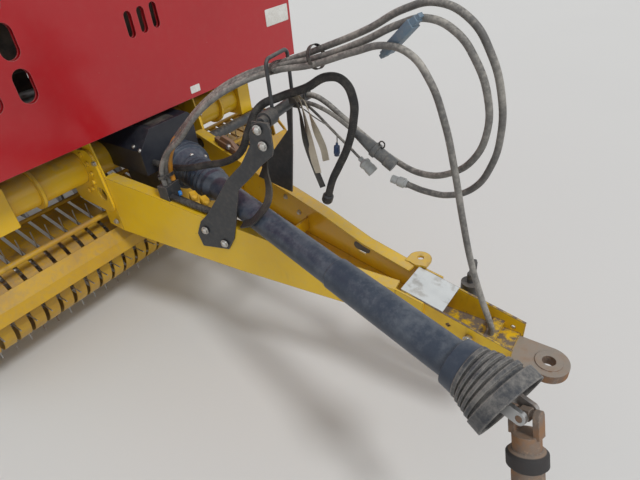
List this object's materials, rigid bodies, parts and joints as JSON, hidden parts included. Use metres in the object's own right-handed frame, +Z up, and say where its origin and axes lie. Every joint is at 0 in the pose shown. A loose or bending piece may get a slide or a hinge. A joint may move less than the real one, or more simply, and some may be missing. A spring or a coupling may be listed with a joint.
{
  "type": "round baler",
  "caption": "Towed belt-type round baler with yellow chassis and tongue, red covers, tined pickup, lifting tailgate and a guarded drive shaft.",
  "frame": {"origin": "on the ground under the middle of the whole machine", "axes": "+Z up, +Y towards the tailgate, +X towards the machine's left side"},
  "size_m": [2.39, 4.2514, 2.44],
  "materials": {
    "frame_yellow": "gloss, worn",
    "pickup_yellow": "worn",
    "body_red": "gloss",
    "worn_iron": "worn bare, rusty",
    "zinc": "galvanised",
    "dark_paint": "dusty",
    "guard_plastic": "dusty",
    "bright_steel": "worn",
    "hose_rubber": "dusty, worn",
    "plug_plastic": "dusty",
    "chrome_rod": "polished",
    "belt_rubber": "textured",
    "tyre_rubber": "matt",
    "rim_paint": "satin",
    "lamp": "lens"
  },
  "bodies": {
    "root": {"hitch_eye": "worn_iron", "hitch_box": "frame_yellow", "hitch_cover": "zinc", "rail_left": "frame_yellow", "rail_right": "frame_yellow", "rail_brace": "frame_yellow", "cross_tube": "frame_yellow", "chassis_left": "frame_yellow", "chassis_right": "frame_yellow", "axle": "frame_yellow", "gearbox": "dark_paint", "gearbox_shroud": "guard_plastic", "pto_guard": "guard_plastic", "pto_bell": "guard_plastic", "hose_holder": "dark_paint", "hose_hoop": "dark_paint", "hose_front": "hose_rubber", "hose_upper": "hose_rubber", "hose_lower": "hose_rubber", "hose_sleeve": "hose_rubber", "hose_lead": "hose_rubber", "plug_cone": "plug_plastic", "plug_clear": "plug_plastic", "sleeve_end": "hose_rubber", "front_panel": "body_red", "wall_left": "body_red", "wall_right": "body_red", "top_cross": "frame_yellow", "front_rolls": "bright_steel", "front_belts": "belt_rubber", "net_box": "dark_paint"},
    "jack": {"jack": "dark_paint"},
    "drive_shaft": {"pto_shaft": "bright_steel"},
    "pto_yoke": {"pto_yoke": "worn_iron"},
    "feed_rotor": {"feed_rotor": "bright_steel"},
    "net_lid": {"net_lid": "body_red"},
    "shield_left": {"shield_left": "body_red"},
    "shield_right": {"shield_right": "body_red"},
    "tailgate": {"gate_wall_left": "body_red", "gate_wall_right": "body_red", "gate_cross": "frame_yellow", "gate_rolls": "bright_steel", "gate_belts": "belt_rubber", "gate_shield_left": "body_red", "gate_shield_right": "body_red", "tail_lamps": "lamp"},
    "wheel_left": {"tyre_left": "tyre_rubber", "rim_left": "rim_paint"},
    "wheel_right": {"tyre_right": "tyre_rubber", "rim_right": "rim_paint"},
    "pickup": {"pickup_frame": "frame_yellow", "pickup_bands": "pickup_yellow", "windguard": "pickup_yellow"},
    "pickup_reel": {"pickup_reel": "bright_steel"},
    "gauge_left": {"gauge_wheel_left": "tyre_rubber"},
    "gauge_right": {"gauge_wheel_right": "tyre_rubber"},
    "barrel_left": {"cylinder_left": "dark_paint"},
    "barrel_right": {"cylinder_right": "dark_paint"},
    "rod_left": {"rod_left": "chrome_rod"},
    "rod_right": {"rod_right": "chrome_rod"}
  },
  "joints": [
    {"name": "wheel_left_spin", "type": "hinge", "parent": "root", "child": "wheel_left", "pos_m": [1.03, 1.16566, 0.4], "axis": [1, 0, 0], "continuous": true},
    {"name": "wheel_right_spin", "type": "hinge", "parent": "root", "child": "wheel_right", "pos_m": [-1.03, 1.16566, 0.4], "axis": [1, 0, 0], "continuous": true},
    {"name": "jack_swing", "type": "hinge", "parent": "root", "child": "jack", "pos_m": [0.115, -1.72434, 0.47], "axis": [-1, 0, 0], "range_deg": [0, 90]},
    {"name": "drive_shaft_spin", "type": "hinge", "parent": "root", "child": "drive_shaft", "pos_m": [-0.20056, -1.29265, 0.70286], "axis": [-0.2507, -0.9666, -0.0527], "continuous": true},
    {"name": "yoke_swing", "type": "hinge", "parent": "drive_shaft", "child": "pto_yoke", "pos_m": [-0.395, -2.04234, 0.662], "axis": [0.9141, -0.2185, -0.3415], "range_deg": [-60, 0]},
    {"name": "feed_rotor_spin", "type": "hinge", "parent": "root", "child": "feed_rotor", "pos_m": [0, 0.36566, 0.59], "axis": [1, 0, 0], "continuous": true},
    {"name": "net_lid_hinge", "type": "hinge", "parent": "root", "child": "net_lid", "pos_m": [0, 0.26766, 2.346], "axis": [-1, 0, 0], "range_deg": [0, 70]},
    {"name": "shield_left_hinge", "type": "hinge", "parent": "root", "child": "shield_left", "pos_m": [0.85, 0.47566, 2.346], "axis": [0, -1, 0], "range_deg": [0, 75]},
    {"name": "shield_right_hinge", "type": "hinge", "parent": "root", "child": "shield_right", "pos_m": [-0.85, 0.47566, 2.346], "axis": [0, 1, 0], "range_deg": [0, 75]},
    {"name": "tailgate_hinge", "type": "hinge", "parent": "root", "child": "tailgate", "pos_m": [0, 0.68566, 2.33], "axis": [1, 0, 0], "range_deg": [0, 50]},
    {"name": "pickup_lift", "type": "hinge", "parent": "root", "child": "pickup", "pos_m": [0, 0.36566, 0.59], "axis": [1, 0, 0], "range_deg": [0, 10]},
    {"name": "pickup_reel_spin", "type": "hinge", "parent": "pickup", "child": "pickup_reel", "pos_m": [0, -0.04434, 0.33], "axis": [1, 0, 0], "continuous": true},
    {"name": "gauge_left_spin", "type": "hinge", "parent": "pickup", "child": "gauge_left", "pos_m": [1.036, 0.13566, 0.215], "axis": [1, 0, 0], "continuous": true},
    {"name": "gauge_right_spin", "type": "hinge", "parent": "pickup", "child": "gauge_right", "pos_m": [-1.036, 0.13566, 0.215], "axis": [1, 0, 0], "continuous": true},
    {"name": "barrel_left_pivot", "type": "hinge", "parent": "root", "child": "barrel_left", "pos_m": [0.73, 0.82566, 0.82], "axis": [1, 0, 0], "range_deg": [0, 4.51]},
    {"name": "rod_left_slide", "type": "slide", "parent": "barrel_left", "child": "rod_left", "axis": [0, 0.3919, 0.92], "range_m": [0, 0.6163]},
    {"name": "barrel_right_pivot", "type": "hinge", "parent": "root", "child": "barrel_right", "pos_m": [-0.73, 0.82566, 0.82], "axis": [1, 0, 0], "range_deg": [0, 4.51]},
    {"name": "rod_right_slide", "type": "slide", "parent": "barrel_right", "child": "rod_right", "axis": [0, 0.3919, 0.92], "range_m": [0, 0.6163]}
  ],
  "couplings": [
    {"joint": "barrel_left_pivot", "follows": "tailgate_hinge", "ratio": 0.086227},
    {"joint": "rod_left_slide", "follows": "tailgate_hinge", "m_per_rad": 0.70398},
    {"joint": "barrel_right_pivot", "follows": "tailgate_hinge", "ratio": 0.086227},
    {"joint": "rod_right_slide", "follows": "tailgate_hinge", "m_per_rad": 0.70398}
  ]
}
